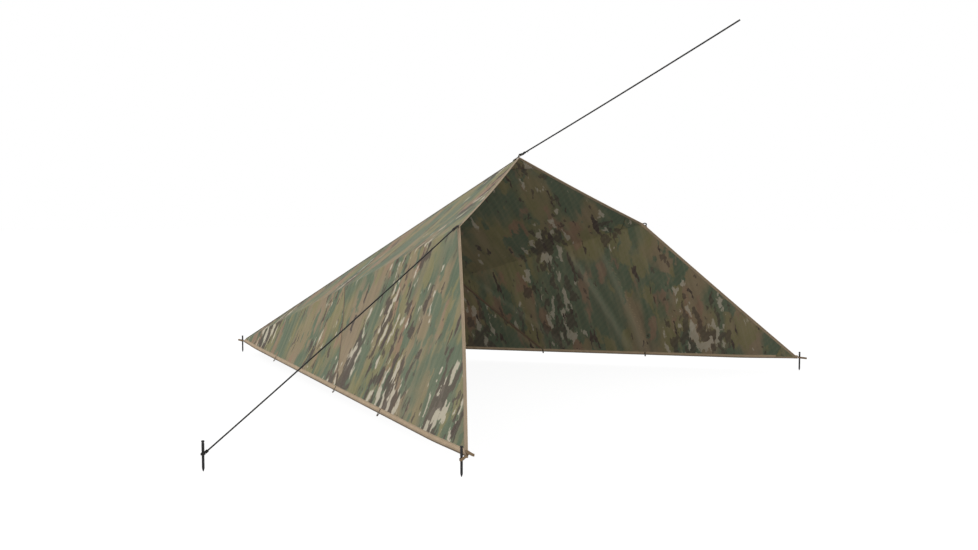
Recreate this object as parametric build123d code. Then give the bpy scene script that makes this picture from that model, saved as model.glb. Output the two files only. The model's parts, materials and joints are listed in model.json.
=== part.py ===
"""Pitched tarp shelter: a low ridge tent folded out of one sewn tarp, held by cord and pegs.

Frame: millimetres, +Z up, origin on the rear peg's axis at ground level. The open front faces -Y and the
shelter is symmetric about the plane X = 0, so the left half is modelled and the right half is its mirror.
"""

import os

from build123d import *

# Pitched corner points of the left half, on the outer face of the cloth.
REAR = Vector(0, 0, 0)
APEX = Vector(0, -2729, 1345)
SHOULDER = Vector(-948, -3053, 936)
FRONT = Vector(-1816, -3826, 0)
GUY_STAKE = Vector(-2486, -2964, 0)
TREE_END = Vector(0, -4160, 2006)

# Sewn layers. Cloth lies inwards of the outer face; the hem tape wraps it on both sides.
CLOTH = 1.5
HEM_WIDTH = 25.0
HEM_PROUD = 0.8
HEM_BACK = 2.3
SEAM_PLACE = 0.575  # share of the way from the rear corner to the front edge
SEAM_TAPE_WIDTH = 18.0
TAPE = 0.9
RIDGE_TAPE_WIDTH = 18.0
PATCH = 1.2
PATCH_REACH = 220.0
REAR_CUT = 45.0  # the panels stop here, where the rear loop takes over
FRONT_CUT = 14.0
CREASE_GAP = 4.0  # bare fold line on each side of a crease
HEM_CREASE_GAP = 6.0
SEWN_GAP = 0.2
SKIN_GAP = 0.1

# Webbing.
WEB = 1.6
LOOP_WIDTH = 10.0
EYE_LENGTH = 21.0
EYE_HEIGHT = 15.0
EYE_OUT = 12.0  # from the corner to the middle of the eye
EYE_LIFT = 9.0  # from the outer face of the cloth to the middle of the eye
LEG_LENGTH = 55.0
BEND_BACK = 4.0  # the bent end of a loop starts this far behind the corner
STITCH_MARGIN = 2.0  # webbing stays this far inside the edge it is sewn to
HEM_LOOP_PLACES = (0.248, 0.572, 0.749)  # shares of the ground hem, from the rear
HEM_LOOP_WIDTH = 15.0
HEM_LOOP_REACH = 34.0
HEM_LOOP_HEIGHT = 7.0
HEM_LOOP_FLARE = Vector(-8, 4, 0)  # the hem loops hang a little outwards
CORNER_BAND = 12.0  # height of the upright band round a corner peg
CORNER_BAND_LIFT = 2.0
BAND_INNER = 7.4
BAND_OUTER = 9.4
FRONT_PEG_OFFSET = Vector(-7, 26, 0)  # from the front corner of the cloth
FRONT_TAIL_OFFSET = Vector(3, -23, 0)
REAR_TAIL = 46.0
RIDGE_STRAP = 2.4  # the rear band's sewn leg, folded double inside the ridge
RIDGE_STRAP_START = 53.0
RIDGE_STRAP_END = 150.0
RIDGE_STRAP_DROP = 5.0
RIDGE_STRAP_TRIM = 1.0  # the leg is this much narrower than the band, top and bottom

# Cord and knots.
CORD_RADIUS = 3.0
KNOT_RING = 15.5
KNOT_RADIUS = 6.0
KNOT_LENGTH = 20.0
KNOT_BITE = 2.0  # the barrel of a knot starts this far inside its ring
HITCH_RING = 10.5
HITCH_HEIGHT = 6.0

# Pegs, all alike. Heights are measured from the shoulder between shank and head.
PEG_SHANK_RADIUS = 5.5
PEG_HEAD_RADIUS = 6.0
PEG_CAP_RADIUS = 6.6
PEG_NECK_RADIUS = 4.8
PEG_SHANK = 73.5
PEG_POINT = 14.0
PEG_HEAD = 32.5
PEG_NECK = 3.0
PEG_CAP = 7.0
CORNER_PEG_SHOULDER = 0.5
GUY_PEG_SHOULDER = 22.5

UP = Vector(0, 0, 1)
FAR = 18000.0  # side of a block larger than the whole shelter
OVERSIZE = 3.0  # a panel's outline is drawn this many times too large before it is cut


def left_of(plane_x):
    """A block filling everything to the left of the given X."""
    return Pos(plane_x - FAR / 2, 0, 0) * Box(FAR, FAR, FAR)


LEFT_SIDE = left_of(-SKIN_GAP)


def unit(start, end):
    """Direction from start to end."""
    return (end - start).normalized()


def clip(polygon, point, towards):
    """The part of a flat polygon on the side of point that the direction towards leads to."""
    kept = []
    for here, after in zip(polygon, polygon[1:] + polygon[:1]):
        here_side = (here - point).dot(towards)
        after_side = (after - point).dot(towards)
        if here_side >= 0:
            kept.append(here)
        if here_side * after_side < 0:
            kept.append(here + (after - here) * (here_side / (here_side - after_side)))
    return kept


class Panel:
    """One flat field of the tarp between the rear corner and an edge running from top to foot."""

    def __init__(self, top, foot):
        self.top = top
        self.foot = foot
        self.out = (foot - REAR).cross(top - REAR).normalized()
        if self.out.X > 0:
            self.out = self.out * -1

    def inward(self, start, end):
        """Direction in the panel, square to the line from start to end, towards the panel's middle."""
        side = self.out.cross(unit(start, end))
        middle = (REAR + self.top + self.foot) * (1 / 3)
        return side if (middle - start).dot(side) > 0 else side * -1

    def oversize(self):
        """A generous triangle around the panel, to be cut down to a piece."""
        middle = (REAR + self.top + self.foot) * (1 / 3)
        return [middle + (corner - middle) * OVERSIZE for corner in (REAR, self.top, self.foot)]

    def piece(self, cuts, outer, inner):
        """A slab between two levels (outwards positive), cut back by (edge, inset) pairs."""
        polygon = self.oversize()
        for (start, end), inset in cuts:
            side = self.inward(start, end)
            polygon = clip(polygon, start + side * inset, side)
        polygon = clip(polygon, REAR + Vector(0, -REAR_CUT, 0), Vector(0, -1, 0))
        face = Face(Wire.make_polygon([p + self.out * outer for p in polygon], close=True))
        return extrude(face, amount=outer - inner, dir=self.out * -1)

    def seam(self):
        """Ends of the cross seam that joins the rear cloth to the front cloth."""
        return self.top * SEAM_PLACE, self.foot * SEAM_PLACE


roof = Panel(APEX, SHOULDER)
flap = Panel(SHOULDER, FRONT)

# Edges as (start, end): the ridge and the ground hem bound the two ends of each side.
RIDGE = (REAR, APEX)
CREASE = (REAR, SHOULDER)
ROOF_FRONT = (APEX, SHOULDER)
FLAP_FRONT = (SHOULDER, FRONT)
GROUND = (REAR, FRONT)


def keep_side(point, towards):
    """A large block filling the side of point that towards leads to."""
    return Plane(origin=point, z_dir=towards) * Box(
        FAR, FAR, FAR, align=(Align.CENTER, Align.CENTER, Align.MIN)
    )


def rear_cloth(panel, cuts):
    """The cloth between the rear corner and the cross seam."""
    start, end = panel.seam()
    forward = panel.inward(start, end)
    return panel.piece(cuts, 0, -CLOTH) & keep_side(start - forward * SEWN_GAP, forward * -1)


def front_cloth(panel, cuts):
    """The cloth between the cross seam and the front hem."""
    start, end = panel.seam()
    forward = panel.inward(start, end)
    return panel.piece(cuts, 0, -CLOTH) & keep_side(start + forward * SEWN_GAP, forward)


def strip(panel, edge, width, cuts, outer, inner):
    """A tape of the given width along the inside of an edge."""
    side = panel.inward(*edge)
    slab = panel.piece([(edge, 0)] + cuts, outer, inner)
    return slab & keep_side(edge[0] + side * width, side * -1)


def seam_tape(panel, cuts):
    """The tape that covers the cross seam on the inside of the tarp."""
    start, end = panel.seam()
    forward = panel.inward(start, end)
    slab = panel.piece(cuts, -CLOTH, -CLOTH - TAPE)
    slab = slab & keep_side(start - forward * (SEAM_TAPE_WIDTH / 2), forward)
    return slab & keep_side(start + forward * (SEAM_TAPE_WIDTH / 2), forward * -1)


def corner_patch(panel, corner, first, second, cuts):
    """A triangular reinforcement on the inside of a corner, between its two edges."""
    a = corner + unit(corner, first) * PATCH_REACH
    b = corner + unit(corner, second) * PATCH_REACH
    side = panel.out.cross(unit(a, b))
    if (corner - a).dot(side) < 0:
        side = side * -1
    slab = panel.piece(cuts, -CLOTH, -CLOTH - PATCH)
    return slab & keep_side(a, side)


def block(start, end, normal, width, thickness):
    """A flat length of webbing from start to end, lying square to normal."""
    along = unit(start, end)
    plane = Plane(origin=(start + end) * 0.5, x_dir=along, z_dir=normal)
    return plane * Box((end - start).length, width, thickness)


def eye(center, direction, normal, length, height, width):
    """A bent webbing eye: a stadium ring seen from the side, as wide as the webbing."""
    plane = Plane(origin=center, x_dir=direction, z_dir=direction.cross(normal))
    ring = SlotOverall(length, height) - SlotOverall(length - 2 * WEB, height - 2 * WEB)
    return extrude(plane * ring, amount=width / 2, both=True)


def rod(start, end, radius):
    """A round bar from start to end."""
    plane = Plane(origin=start, z_dir=unit(start, end))
    return plane * Cylinder(
        radius, (end - start).length, align=(Align.CENTER, Align.CENTER, Align.MIN)
    )


def knot(ring_center, ring_axis, ring_radius, start, direction):
    """A cord ring drawn up into a barrel knot that begins at start."""
    ring = Plane(origin=ring_center, z_dir=ring_axis) * Torus(ring_radius, CORD_RADIUS)
    barrel = rod(start, start + direction * KNOT_LENGTH, KNOT_RADIUS)
    return ring + fillet(barrel.edges().filter_by(GeomType.CIRCLE), CORD_RADIUS)


def peg(foot, shoulder):
    """A turned ground peg: pointed shank, thicker head with a cord groove and a flat cap."""
    top = shoulder + PEG_HEAD
    profile = Polyline(
        (0, shoulder - PEG_SHANK - PEG_POINT),
        (PEG_SHANK_RADIUS, shoulder - PEG_SHANK),
        (PEG_SHANK_RADIUS, shoulder),
        (PEG_HEAD_RADIUS, shoulder),
        (PEG_HEAD_RADIUS, top),
        (PEG_NECK_RADIUS, top),
        (PEG_NECK_RADIUS, top + PEG_NECK),
        (PEG_CAP_RADIUS, top + PEG_NECK),
        (PEG_CAP_RADIUS, top + PEG_NECK + PEG_CAP),
        (0, top + PEG_NECK + PEG_CAP),
        close=True,
    )
    turned = revolve(Plane.XZ * make_face(profile), axis=Axis.Z)
    return Pos(foot.X, foot.Y, 0) * turned


def corner_band(start, end, leg):
    """Upright webbing band drawn round the line from start to end, with a sewn leg."""
    middle = (start + end) * 0.5 + UP * CORNER_BAND_LIFT
    span = (end - start).length
    ring = SlotCenterToCenter(span, 2 * BAND_OUTER) - SlotCenterToCenter(span, 2 * BAND_INNER)
    plane = Plane(origin=middle, x_dir=unit(start, end), z_dir=UP)
    return extrude(plane * ring, amount=CORNER_BAND, dir=UP) + leg


def both_halves(solid):
    """A piece that crosses the ridge: its left half, cut at the ridge plane, and the mirror of it."""
    half = solid & left_of(0)
    return half + mirror(half, about=Plane.YZ)


parts = {}


def add_pair(name, solid):
    """Stores a left-hand piece and its mirror; name holds SIDE where left or right goes."""
    parts[name.replace("SIDE", "left")] = solid
    parts[name.replace("SIDE", "right")] = mirror(solid, about=Plane.YZ)


def roof_pieces():
    """Both roof halves, with the pieces that cross the ridge."""
    hem_line = (ROOF_FRONT, HEM_WIDTH + SEWN_GAP)
    trims = [(CREASE, CREASE_GAP), hem_line]
    add_pair("roof_SIDE_rear_cloth", rear_cloth(roof, trims) & LEFT_SIDE)
    add_pair("roof_SIDE_front_cloth", front_cloth(roof, trims) & LEFT_SIDE)
    add_pair("roof_SIDE_seam_tape", seam_tape(roof, trims) & LEFT_SIDE)
    hem = strip(roof, ROOF_FRONT, HEM_WIDTH, [(CREASE, HEM_CREASE_GAP)], HEM_PROUD, -HEM_BACK)
    add_pair("roof_SIDE_front_hem", hem & LEFT_SIDE)
    add_pair("shoulder_SIDE_patch", corner_patch(roof, SHOULDER, APEX, REAR, trims) & LEFT_SIDE)

    over = RIDGE_TAPE_WIDTH / 2
    side = roof.inward(*RIDGE)
    tape = roof.piece([hem_line], HEM_PROUD, 0)
    tape = tape & keep_side(REAR + side * over, side * -1)
    parts["ridge_tape"] = both_halves(tape)
    parts["apex_patch"] = both_halves(corner_patch(roof, APEX, REAR, SHOULDER, [hem_line]))
    rear_cuts = [(CREASE, CREASE_GAP)]
    parts["rear_patch"] = both_halves(corner_patch(roof, REAR, APEX, SHOULDER, rear_cuts))


def flap_pieces():
    """Both side flaps, from the crease down to the ground hem."""
    front_line = (FLAP_FRONT, HEM_WIDTH + SEWN_GAP)
    ground_line = (GROUND, HEM_WIDTH + SEWN_GAP)
    trims = [(CREASE, CREASE_GAP), front_line, ground_line]
    corner = keep_side(FRONT - unit(*GROUND) * FRONT_CUT, unit(*GROUND) * -1)
    add_pair("SIDE_flap_rear_cloth", rear_cloth(flap, trims))
    add_pair("SIDE_flap_front_cloth", front_cloth(flap, trims))
    add_pair("SIDE_flap_seam_tape", seam_tape(flap, trims))
    hem_cuts = [(CREASE, HEM_CREASE_GAP), (FLAP_FRONT, 0)]
    ground = strip(flap, GROUND, HEM_WIDTH, hem_cuts, HEM_PROUD, -HEM_BACK)
    add_pair("SIDE_flap_ground_hem", ground & corner)
    front_cuts = [(CREASE, HEM_CREASE_GAP), ground_line]
    front = strip(flap, FLAP_FRONT, HEM_WIDTH, front_cuts, HEM_PROUD, -HEM_BACK)
    add_pair("SIDE_flap_front_hem", front)
    add_pair("front_SIDE_patch", corner_patch(flap, FRONT, SHOULDER, REAR, trims))


def lifted(panel, point, level):
    """The point moved outwards from the panel's outer face."""
    return point + panel.out * level


def shoulder_loop():
    """Guy loop: a leg along the front hem, bent at the shoulder into an eye that faces the guy peg."""
    pull = unit(SHOULDER, GUY_STAKE)
    level = HEM_PROUD + SKIN_GAP + WEB / 2
    start = lifted(roof, SHOULDER, level)
    side = roof.inward(*ROOF_FRONT) * (LOOP_WIDTH / 2)
    leg = block(
        start + unit(SHOULDER, APEX) * LEG_LENGTH + side, start + side, roof.out, LOOP_WIDTH, WEB
    )
    bend = block(start - pull * BEND_BACK, start + pull * EYE_OUT, roof.out, LOOP_WIDTH, WEB)
    ring = eye(guy_pivot(), pull, roof.out, EYE_LENGTH, EYE_HEIGHT, LOOP_WIDTH)
    return leg + bend + ring


def guy_pivot():
    """Middle of the guy loop's eye, where the guy line is tied."""
    flat = unit(SHOULDER, GUY_STAKE)
    return SHOULDER + flat * EYE_OUT + roof.out * EYE_LIFT


def tree_pivot():
    """Middle of the apex loop's eye, where the tree line is tied."""
    return APEX + unit(APEX, TREE_END) * EYE_OUT + ridge_up() * EYE_LIFT


def ridge_up():
    """Upward direction square to the ridge."""
    return unit(*RIDGE).cross(Vector(1, 0, 0))


def apex_loop():
    """Ridge loop: a leg along the top of the ridge ending in an eye in front of the apex."""
    pull = unit(APEX, TREE_END)
    level = 2 * HEM_PROUD + WEB / 2
    start = APEX + ridge_up() * level
    leg = block(
        start - unit(REAR, APEX) * LEG_LENGTH, start + pull * EYE_OUT, ridge_up(), LOOP_WIDTH, WEB
    )
    return leg + eye(tree_pivot(), pull, ridge_up(), EYE_LENGTH, EYE_HEIGHT, LOOP_WIDTH)


def hem_loops():
    """Peg-out loops crossing the ground hem and hanging from it."""
    down = flap.inward(*GROUND) * -1
    along = unit(*GROUND)
    hang = (down * HEM_LOOP_REACH + HEM_LOOP_FLARE).normalized()
    face = hang.cross(along).normalized()
    if face.dot(flap.out) < 0:
        face = face * -1
    loops = []
    for place in HEM_LOOP_PLACES:
        edge = REAR + (FRONT - REAR) * place
        level = HEM_PROUD + SKIN_GAP + WEB / 2
        leg = block(
            lifted(flap, edge - down * (HEM_WIDTH - STITCH_MARGIN), level),
            lifted(flap, edge + down * STITCH_MARGIN, level),
            flap.out,
            HEM_LOOP_WIDTH,
            WEB,
        )
        rise = level + HEM_LOOP_HEIGHT / 2 - WEB / 2
        middle = lifted(flap, edge, rise) + hang * (HEM_LOOP_REACH / 2 - STITCH_MARGIN)
        loops.append(leg + eye(middle, hang, face, HEM_LOOP_REACH, HEM_LOOP_HEIGHT, HEM_LOOP_WIDTH))
    return Compound(children=[solid for loop in loops for solid in loop.solids()])


def front_corner_loop():
    """Peg loop at the front corner, its leg sewn along the end of the ground hem."""
    along = unit(*GROUND)
    height = flap.inward(*GROUND) * (CORNER_BAND_LIFT + CORNER_BAND / 2)
    level = HEM_PROUD + SKIN_GAP + WEB / 2
    leg = block(
        lifted(flap, FRONT - along * LEG_LENGTH + height, level),
        lifted(flap, FRONT - along * STITCH_MARGIN + height, level),
        flap.out,
        CORNER_BAND - STITCH_MARGIN,
        WEB,
    )
    return corner_band(FRONT + FRONT_PEG_OFFSET, FRONT + FRONT_TAIL_OFFSET, leg)


def rear_corner_loop():
    """Peg loop at the rear corner, its leg running up inside the ridge fold."""
    rise = -APEX.Z / APEX.Y
    start = -(BAND_INNER + BAND_OUTER) / 2
    low = CORNER_BAND_LIFT + RIDGE_STRAP_TRIM
    high = CORNER_BAND_LIFT + CORNER_BAND - RIDGE_STRAP_TRIM
    under = RIDGE_STRAP_END * rise - RIDGE_STRAP_DROP
    side = Polyline(
        (start, low),
        (start, high),
        (-REAR_CUT + STITCH_MARGIN, high),
        (-RIDGE_STRAP_END, under),
        (-RIDGE_STRAP_END, under - high + low),
        (-RIDGE_STRAP_START, low),
        close=True,
    )
    leg = extrude(Plane.YZ * make_face(side), amount=RIDGE_STRAP / 2, both=True)
    return corner_band(REAR, REAR + Vector(0, REAR_TAIL, 0), leg)


def cords():
    """The two guy lines and the tree line, each with its knots."""
    pull = unit(SHOULDER, GUY_STAKE)
    pivot = guy_pivot()
    hitch = GUY_STAKE + UP * HITCH_HEIGHT
    toward = unit(pivot, hitch)
    knot_start = pivot + toward * (2 * KNOT_RING - KNOT_BITE)
    add_pair(
        "SIDE_guy_knot", knot(pivot + pull * KNOT_RING, roof.out, KNOT_RING, knot_start, toward)
    )
    hitch_start = hitch - toward * HITCH_RING
    add_pair("SIDE_peg_hitch", knot(hitch, UP, HITCH_RING, hitch_start, toward * -1))
    line_start = knot_start + toward * KNOT_LENGTH
    line_end = hitch_start - toward * KNOT_LENGTH
    add_pair("SIDE_guy_line", rod(line_start, line_end, CORD_RADIUS))

    pull = unit(APEX, TREE_END)
    pivot = tree_pivot()
    toward = unit(pivot, TREE_END)
    knot_start = pivot + toward * (2 * KNOT_RING - KNOT_BITE)
    parts["apex_knot"] = knot(
        pivot + pull * KNOT_RING, ridge_up(), KNOT_RING, knot_start, toward
    )
    parts["tree_line"] = rod(knot_start + toward * KNOT_LENGTH, TREE_END, CORD_RADIUS)


def webbing():
    """All loops that take a peg or a cord."""
    add_pair("shoulder_SIDE_loop", shoulder_loop())
    add_pair("SIDE_hem_loops", hem_loops())
    add_pair("front_SIDE_corner_loop", front_corner_loop())
    parts["apex_loop"] = apex_loop()
    parts["rear_corner_loop"] = rear_corner_loop()


def pegs():
    """Three corner pegs and two guy pegs."""
    parts["rear_peg"] = peg(REAR, CORNER_PEG_SHOULDER)
    add_pair("front_SIDE_peg", peg(FRONT + FRONT_PEG_OFFSET, CORNER_PEG_SHOULDER))
    add_pair("guy_SIDE_peg", peg(GUY_STAKE, GUY_PEG_SHOULDER))


roof_pieces()
flap_pieces()
webbing()
cords()
pegs()

os.makedirs("parts", exist_ok=True)
for name, solid in parts.items():
    export_step(solid, f"parts/{name}.step")
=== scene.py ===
"""Looks of the pitched tarp shelter: cloth, bindings, webbing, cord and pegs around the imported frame.

Every sewn piece is laid out on the tarp's flat sewing pattern, in metres, and carried into space by
Half.place(): x runs away from the ridge, y runs from the rear corner to the front.
"""

import json
import math

import bmesh
import bpy
import numpy as np
from mathutils import Matrix, Vector


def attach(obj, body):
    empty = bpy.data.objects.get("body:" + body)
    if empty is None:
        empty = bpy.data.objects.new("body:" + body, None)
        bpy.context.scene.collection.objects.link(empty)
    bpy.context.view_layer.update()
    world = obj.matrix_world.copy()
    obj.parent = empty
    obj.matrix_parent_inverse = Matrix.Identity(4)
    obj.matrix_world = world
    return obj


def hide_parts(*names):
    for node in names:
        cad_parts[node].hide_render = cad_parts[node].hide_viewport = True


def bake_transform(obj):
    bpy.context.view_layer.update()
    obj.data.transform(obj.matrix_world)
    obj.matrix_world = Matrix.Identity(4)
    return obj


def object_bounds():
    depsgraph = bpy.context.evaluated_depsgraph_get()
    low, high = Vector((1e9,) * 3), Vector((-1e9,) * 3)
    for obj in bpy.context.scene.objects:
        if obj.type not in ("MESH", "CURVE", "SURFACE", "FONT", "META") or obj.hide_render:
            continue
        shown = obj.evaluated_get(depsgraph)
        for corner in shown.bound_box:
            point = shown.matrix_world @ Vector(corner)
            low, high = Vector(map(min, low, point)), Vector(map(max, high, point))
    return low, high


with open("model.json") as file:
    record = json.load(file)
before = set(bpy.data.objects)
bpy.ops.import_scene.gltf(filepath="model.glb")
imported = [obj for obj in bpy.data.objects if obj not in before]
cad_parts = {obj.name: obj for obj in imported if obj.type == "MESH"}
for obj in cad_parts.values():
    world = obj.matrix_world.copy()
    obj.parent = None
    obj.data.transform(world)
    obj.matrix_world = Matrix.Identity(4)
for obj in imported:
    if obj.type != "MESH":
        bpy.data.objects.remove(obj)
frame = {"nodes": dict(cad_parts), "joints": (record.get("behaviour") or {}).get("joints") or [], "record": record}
CAD_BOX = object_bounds()

MM = 0.001
MOUNTS = {m["name"]: np.array(m["pos_m"]) for m in frame["record"]["mounts"]}
JOINTS = {j["name"]: j for j in frame["joints"]}
UP = np.array([0.0, 0.0, 1.0])
REAR = np.zeros(2)  # the rear corner on the sewing pattern

# Cloth. Places along the tarp are shares of the way from the rear corner to the front edge.
SHEET = 0.9 * MM
INSIDE = 10.0  # added to the third pattern coordinate on the inner face
SEAM_PLACE = 0.575
REAR_START = 0.011
FRONT_STOP = 1 - 0.0006
FOLD_ZONE = 22 * MM
RIDGE_ZONE = 12 * MM
SAG = 16 * MM
GROUND_DROP = 8 * MM  # the ground hem hangs this far below the line between its corners
DROP_REACH = 350 * MM
# Front corner of the cloth, seen from its peg; the right one is pulled up closer to the peg.
CORNER_FROM_PEG = {"left": np.array([7, -26, 0]) * MM, "right": np.array([15, 2, 0]) * MM}
# Tension folds of each flap: place along the tarp at the crease and at the ground hem, lift in
# millimetres and half width as a share of the tarp's length.
FOLDS = {
    "left": ((0.93, 0.90, 3.0, 0.016), (0.80, 0.84, 2.2, 0.014), (0.70, 0.66, 2.0, 0.018),
             (0.40, 0.42, 1.6, 0.02)),
    "right": ((0.828, 0.724, -6.0, 0.008), (0.892, 0.745, -5.0, 0.007), (0.60, 0.625, -3.0, 0.008),
              (0.95, 0.86, -1.6, 0.008), (0.70, 0.52, -2.0, 0.009)),
}
FULL_FOLD = 6  # a fold lifted this many millimetres gets the full painted highlight
# Where on the printed roll the rear and front width of each half is cut, in metres.
PRINT_PLACE = {
    "left": {"rear": (17.5, 14.5), "front": (0.5, 10.8)},
    "right": {"rear": (4.4, 10.8), "front": (5.4, 12.2)},
}

# Sewing.
HEM_WIDTH = 25 * MM
FRONT_HEM = 22 * MM
SEAM_TAPE = 16 * MM
FELL_WIDTH = 8 * MM
RIDGE_HALF = 9 * MM
RIDGE_START = 0.016
PATCH_REACH = 170 * MM
PATCH_FILL = 0.80

# Webbing.
WEB = 1.6 * MM
EYE_HALF = (9.5 * MM, 6.5 * MM)
EYE_WIDTH = 10 * MM
HEM_LOOPS = (0.248, 0.572, 0.749)
LOOP_HANG = 16 * MM
LOOP_BREADTH = 9 * MM
CORNER_STRAP = 11 * MM
PEG_RING = 8.6 * MM
UNDER_CLOTH = -SHEET - 3 * MM
OVER_CLOTH = 1.9 * MM

# Cord, as radii.
CORD = 3.6 * MM
TREE_CORD = 4.4 * MM
TIE_CORD = 1.8 * MM
WRAP = CORD + TIE_CORD * 0.9
BIGHT = 13 * MM
HITCH_HEIGHT = 6 * MM
HITCH_RING = 8.8 * MM

# Height of each peg's shoulder over the ground line, in millimetres.
PEGS = {"rear_peg": 0.5, "front_left_peg": 0.5, "front_right_peg": 0.5,
        "guy_left_peg": 22.5, "guy_right_peg": 22.5}

# Camera and stage.
CAMERA_PLACE = (-4.947, -6.438, 0.993)
CAMERA_AZIMUTH = -51.41
CAMERA_PITCH = -3.42
CAMERA_LENS = 36.94
SENSOR = 36.0
DOME = 0.66
KEY = 470
FILL = 190
FLOOR_EDGE = 60.0
FLOOR_BOUNCE = 0.5
FLOOR_WHITE = 0.86
FLOOR_GLOW = 1.065


# ---- small vector helpers

def unit(v):
    v = np.asarray(v, float)
    return v / np.linalg.norm(v, axis=-1, keepdims=True)


def smooth(t):
    t = np.clip(t, 0, 1)
    return t * t * (3 - 2 * t)


def angle_between(a, b):
    return math.acos(float(np.clip(unit(a) @ unit(b), -1, 1)))


def flat_vector(angle, length):
    return np.array([math.sin(angle), math.cos(angle)]) * length


def node_points(node):
    mesh = frame["nodes"][node].data
    co = np.zeros(len(mesh.vertices) * 3)
    mesh.vertices.foreach_get("co", co)
    return co.reshape(-1, 3)


def farthest(node, direction):
    points = node_points(node)
    return points[np.argmax(points @ np.asarray(direction, float))]


def inward_from(start, end, middle):
    """Unit vector square to a pattern line, on the side where middle lies."""
    along = unit(end - start)
    side = np.array([-along[1], along[0]])
    return side if (middle - start) @ side > 0 else -side


# ---- the tarp's pattern

class Half:
    """One half of the tarp, from the ridge over the crease to the ground hem."""

    def __init__(self, side):
        self.side = side
        self.sign = -1 if side == "left" else 1
        self.mirror = np.array([-self.sign, 1, 1])
        self.flap = f"{side}_flap"
        crease = unit(JOINTS["left_flap_fold"]["axis"])
        reach = (node_points("roof_left_front_hem") @ crease).max()
        self.apex = farthest("roof_left_front_hem", (0.1, 0, 1)) * [0, 1, 1]
        self.shoulder = crease * reach * self.mirror
        self.front = (MOUNTS["front_left_peg_shank"] + CORNER_FROM_PEG[side]) * self.mirror
        a, b, c = self.apex, self.shoulder, self.front
        self.turn_roof = angle_between(a, b)
        turn_all = self.turn_roof + angle_between(b, c)
        self.flat_apex = flat_vector(0, np.linalg.norm(a))
        self.flat_shoulder = flat_vector(self.turn_roof, np.linalg.norm(b))
        self.flat_front = flat_vector(turn_all, np.linalg.norm(c))
        self.roof_out = self.upward(np.cross(a, b))
        self.flap_out = self.upward(np.cross(b, c))
        self.ridge_out = unit(self.roof_out * [0, 1, 1])
        self.flap_down = -self.upward(np.cross(unit(c), self.flap_out))
        self.ground_inward = inward_from(REAR, self.flat_front, self.flat_shoulder)

    @staticmethod
    def upward(v):
        return unit(v) * np.sign(v[2])

    def split(self, q):
        """Whether each pattern point is on the flap, and its shares of the two panel sides."""
        q = np.asarray(q, float)
        on_flap = np.arctan2(q[..., 0], q[..., 1]) > self.turn_roof
        sides = ((self.flat_apex, self.flat_shoulder), (self.flat_shoulder, self.flat_front))
        roof, flap = (q @ np.linalg.inv(np.stack(pair, 1)).T for pair in sides)
        return on_flap, roof, flap

    def from_ridge(self, q):
        return np.asarray(q, float)[..., 0]

    def from_crease(self, q):
        """Signed distance to the crease, positive on the flap."""
        d = unit(self.flat_shoulder)
        q = np.asarray(q, float)
        return q[..., 0] * d[1] - q[..., 1] * d[0]

    def from_ground(self, q):
        d = unit(self.flat_front)
        q = np.asarray(q, float)
        return q[..., 1] * d[0] - q[..., 0] * d[1]

    def along(self, q):
        """Share of the way from the rear corner to the front edge."""
        on_flap, roof, flap = self.split(q)
        return np.where(on_flap, flap.sum(-1), roof.sum(-1))

    def across(self, q):
        """0 at the ridge, 1 at the crease, 2 at the ground hem."""
        on_flap, roof, flap = self.split(q)
        total_roof = np.maximum(roof.sum(-1), 1e-9)
        total_flap = np.maximum(flap.sum(-1), 1e-9)
        return np.where(on_flap, 1 + flap[..., 1] / total_flap, roof[..., 1] / total_roof)

    def normal(self, q):
        ridge = smooth(self.from_ridge(q) / RIDGE_ZONE)[..., None]
        flap = smooth(self.from_crease(q) / FOLD_ZONE + 0.5)[..., None]
        out = self.ridge_out * (1 - ridge) + self.roof_out * ridge
        return unit(out * (1 - flap) + self.flap_out * flap)

    def sag(self, q):
        """How far the cloth hangs inwards: between its edges, and in soft tension folds."""
        u, v = self.along(q), self.across(q)
        roof = np.clip(v, 0, 1)
        flap = np.clip(v - 1, 0, 1)
        belly = np.sin(math.pi * roof) + np.sin(math.pi * flap)
        taper = np.clip(u, 0, 1) ** 1.2
        front = np.clip(u, 0, 1) ** 6
        depth = SAG * belly * taper * (1 - 0.5 * front)
        return -depth + self.folds(q)[0]

    def folds(self, q):
        """Height of the tension folds in the flap, and how strongly each point gets the painted highlight along
        them.
        """
        u = self.along(q)
        flap = np.clip(self.across(q) - 1, 0, 1)
        reach = smooth(flap * 6) * smooth((1 - flap) * 9)
        height, wear_and_fold_highlight = 0.0, 0.0
        for start, end, lift, spread in FOLDS[self.side]:
            middle = start + (end - start) * flap
            wide = spread * (0.7 + 0.3 * flap)
            ripple = np.exp(-(((u - middle) / wide) ** 2))
            valley = np.exp(-(((u - middle - 1.7 * wide) / wide) ** 2))
            height = height + (ripple - 0.6 * valley) * lift * MM * reach
            # strength of the painted highlight along each fold
            wear_and_fold_highlight = wear_and_fold_highlight + ripple * reach * abs(lift) / FULL_FOLD
        return height, np.clip(wear_and_fold_highlight, 0, 1)

    def drop(self, q):
        """How far the cloth near the ground hem hangs below its straight line."""
        u = self.along(q)
        ends = smooth(u / 0.12) * smooth((1 - u) / 0.10)
        return GROUND_DROP * ends * smooth(1 - self.from_ground(q) / DROP_REACH) * (self.across(q) > 1)

    def place(self, q, lift=0.0):
        """Pattern point to space, lifted outwards from the outer face of the cloth."""
        q = np.asarray(q, float)
        on_flap, roof, flap = self.split(q)
        on_roof = roof[..., :1] * self.apex + roof[..., 1:] * self.shoulder
        on_side = flap[..., :1] * self.shoulder + flap[..., 1:] * self.front
        base = np.where(on_flap[..., None], on_side, on_roof)
        low = self.flap_down * self.drop(q)[..., None]
        return base + low + self.normal(q) * (self.sag(q) + lift)[..., None]


HALVES = {side: Half(side) for side in ("left", "right")}
LEFT = HALVES["left"]


# ---- mesh helpers

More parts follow.
